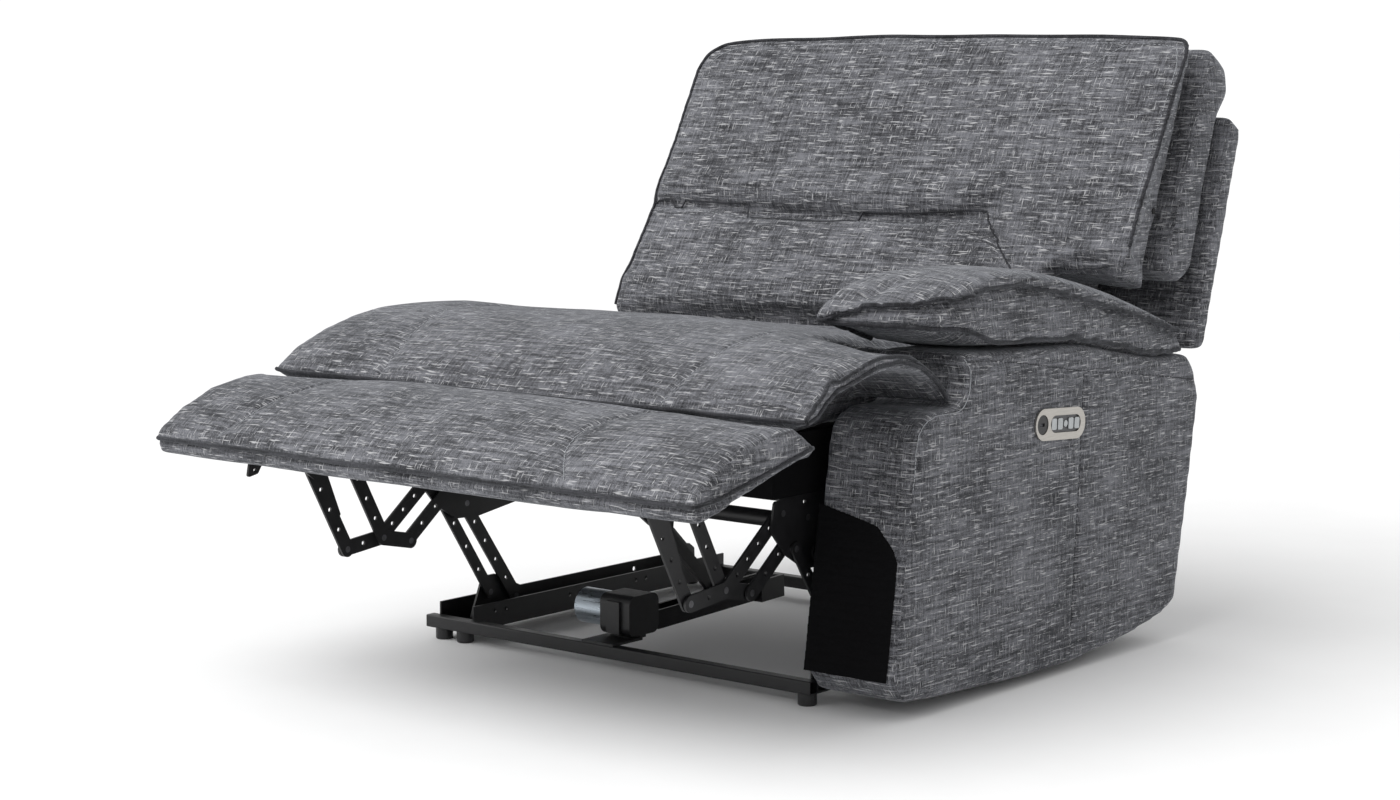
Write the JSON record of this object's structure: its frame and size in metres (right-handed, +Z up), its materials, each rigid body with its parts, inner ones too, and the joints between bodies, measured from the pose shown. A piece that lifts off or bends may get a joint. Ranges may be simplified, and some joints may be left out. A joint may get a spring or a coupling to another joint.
{
  "type": "recliner armchair",
  "caption": "Power reclining seat section with an arm on the sitter's left, an open right side, a footrest shown out, a tilting headrest and a button panel on the arm.",
  "frame": {"origin": "middle of the overall box at floor level, with the footrest out", "axes": "+Y to the rear, so the seat faces -Y; +X to the sitter's left, the arm side; +Z up"},
  "size_m": [1.07, 1.408, 0.976],
  "materials": {
    "cover_fabric": "matte",
    "black_steel": "satin",
    "rivet_steel": "satin",
    "motor_steel": "satin",
    "track_aluminium": "satin",
    "black_plastic": "matte",
    "black_cloth": "matte",
    "plywood": "matte",
    "satin_nickel": "satin",
    "button_plastic": "satin"
  },
  "bodies": {
    "base": {"front_rail": "black_steel", "rear_rail": "black_steel", "left_base_rail": "black_steel", "right_base_rail": "black_steel", "base_pivot_plates": "black_steel", "base_rivets": "rivet_steel", "floor_glides": "black_plastic", "actuator_bracket": "black_steel", "actuator_gearbox": "black_plastic", "actuator_motor": "motor_steel", "actuator_track": "track_aluminium", "lead_screw": "rivet_steel", "track_end_bracket": "black_steel"},
    "carriage": {"actuator_carriage": "black_plastic"},
    "pusher": {"push_link": "black_steel"},
    "lift": {"lift_links": "black_steel"},
    "control": {"control_links": "black_steel"},
    "rear_lift": {"rear_links": "black_steel"},
    "seat": {"side_plate_left": "black_steel", "side_plate_right": "black_steel", "seat_rivets": "rivet_steel", "front_cross_tube": "black_steel", "rear_cross_tube": "black_steel", "seat_springs": "rivet_steel", "seat_front_board": "plywood", "seat_rear_board": "plywood", "seat_left_board": "plywood", "seat_right_board": "plywood", "seat_cushion": "cover_fabric", "arm_cover": "cover_fabric", "arm_boards": "plywood", "arm_pad": "cover_fabric", "arm_front_cloth": "black_cloth", "panel_bezel": "satin_nickel", "button_well": "black_plastic", "power_port": "black_plastic"},
    "main_bars": {"main_links": "black_steel"},
    "drive_bars": {"drive_links": "black_steel"},
    "cross_bars": {"cross_links": "black_steel", "cross_rivets": "rivet_steel"},
    "front_bars": {"front_links": "black_steel", "front_rivets": "rivet_steel"},
    "footrest": {"footrest_brackets": "black_steel", "bracket_rivets": "rivet_steel", "footrest_board": "plywood", "footrest_pad": "cover_fabric", "front_stop": "black_steel"},
    "back": {"back_brackets": "black_steel", "headrest_hinge": "black_steel", "back_outer": "cover_fabric", "back_lower": "cover_fabric", "back_gusset": "cover_fabric", "lumbar_cushion": "cover_fabric"},
    "headrest": {"headrest_cushion": "cover_fabric", "headrest_gusset": "cover_fabric"},
    "button_recline_back": {"button_recline_back": "button_plastic"},
    "button_recline_forward": {"button_recline_forward": "button_plastic"},
    "button_home": {"button_home": "button_plastic"},
    "button_headrest_forward": {"button_headrest_forward": "button_plastic"},
    "button_headrest_back": {"button_headrest_back": "button_plastic"}
  },
  "joints": [
    {"name": "footrest_drive", "type": "hinge", "parent": "base", "child": "lift", "pos_m": [0, -0.089, 0.05], "axis": [1, 0, 0], "range_deg": [-27, 0]},
    {"name": "seat_on_lift", "type": "hinge", "parent": "lift", "child": "seat", "pos_m": [0, -0.209, 0.22], "axis": [1, 0, 0], "range_deg": [0, 31.05]},
    {"name": "rear_lift_swing", "type": "hinge", "parent": "base", "child": "rear_lift", "pos_m": [0, 0.3582, 0.0576], "axis": [1, 0, 0], "range_deg": [-24.98, 0]},
    {"name": "control_swing", "type": "hinge", "parent": "base", "child": "control", "pos_m": [0, -0.1496, 0.0651], "axis": [1, 0, 0], "range_deg": [-27.59, 0]},
    {"name": "carriage_travel", "type": "slide", "parent": "base", "child": "carriage", "axis": [0, 0.9994, 0.0349], "range_m": [0, 0.02885]},
    {"name": "push_swing", "type": "hinge", "parent": "carriage", "child": "pusher", "pos_m": [0, 0.0136, 0.088], "axis": [1, 0, 0], "range_deg": [-26.81, 0]},
    {"name": "main_bar_swing", "type": "hinge", "parent": "seat", "child": "main_bars", "pos_m": [0, -0.284, 0.285], "axis": [1, 0, 0], "range_deg": [0, 81]},
    {"name": "drive_bar_swing", "type": "hinge", "parent": "seat", "child": "drive_bars", "pos_m": [0, -0.2253, 0.2725], "axis": [1, 0, 0], "range_deg": [0, 81]},
    {"name": "cross_bar_swing", "type": "hinge", "parent": "main_bars", "child": "cross_bars", "pos_m": [0, -0.406, 0.191], "axis": [1, 0, 0], "range_deg": [-81, 0]},
    {"name": "front_bar_swing", "type": "hinge", "parent": "main_bars", "child": "front_bars", "pos_m": [0, -0.483, 0.183], "axis": [1, 0, 0], "range_deg": [-81, 0]},
    {"name": "footrest_swing", "type": "hinge", "parent": "cross_bars", "child": "footrest", "pos_m": [0, -0.477, 0.323], "axis": [1, 0, 0], "range_deg": [0, 81]},
    {"name": "back_recline", "type": "hinge", "parent": "seat", "child": "back", "pos_m": [0, 0.396, 0.32], "axis": [1, 0, 0], "range_deg": [-27, 0]},
    {"name": "headrest_tilt", "type": "hinge", "parent": "back", "child": "headrest", "pos_m": [0, 0.506, 0.69], "axis": [1, 0, 0], "range_deg": [0, 25]},
    {"name": "press_recline_back", "type": "slide", "parent": "seat", "child": "button_recline_back", "axis": [-1, 0, 0], "range_m": [0, 0.001], "stiffness_N_per_m": 400, "springref_m": -0.0004},
    {"name": "press_recline_forward", "type": "slide", "parent": "seat", "child": "button_recline_forward", "axis": [-1, 0, 0], "range_m": [0, 0.001], "stiffness_N_per_m": 400, "springref_m": -0.0004},
    {"name": "press_home", "type": "slide", "parent": "seat", "child": "button_home", "axis": [-1, 0, 0], "range_m": [0, 0.001], "stiffness_N_per_m": 400, "springref_m": -0.0004},
    {"name": "press_headrest_forward", "type": "slide", "parent": "seat", "child": "button_headrest_forward", "axis": [-1, 0, 0], "range_m": [0, 0.001], "stiffness_N_per_m": 400, "springref_m": -0.0004},
    {"name": "press_headrest_back", "type": "slide", "parent": "seat", "child": "button_headrest_back", "axis": [-1, 0, 0], "range_m": [0, 0.001], "stiffness_N_per_m": 400, "springref_m": -0.0004}
  ],
  "couplings": [
    {"joint": "seat_on_lift", "follows": "footrest_drive", "ratio": -1.15},
    {"joint": "rear_lift_swing", "follows": "footrest_drive", "ratio": 0.925},
    {"joint": "control_swing", "follows": "footrest_drive", "ratio": 1.022},
    {"joint": "carriage_travel", "follows": "footrest_drive", "m_per_rad": -0.06122},
    {"joint": "push_swing", "follows": "footrest_drive", "ratio": 0.993},
    {"joint": "main_bar_swing", "follows": "footrest_drive", "ratio": -3},
    {"joint": "drive_bar_swing", "follows": "footrest_drive", "ratio": -3},
    {"joint": "cross_bar_swing", "follows": "footrest_drive", "ratio": 3},
    {"joint": "front_bar_swing", "follows": "footrest_drive", "ratio": 3},
    {"joint": "footrest_swing", "follows": "footrest_drive", "ratio": -3}
  ]
}
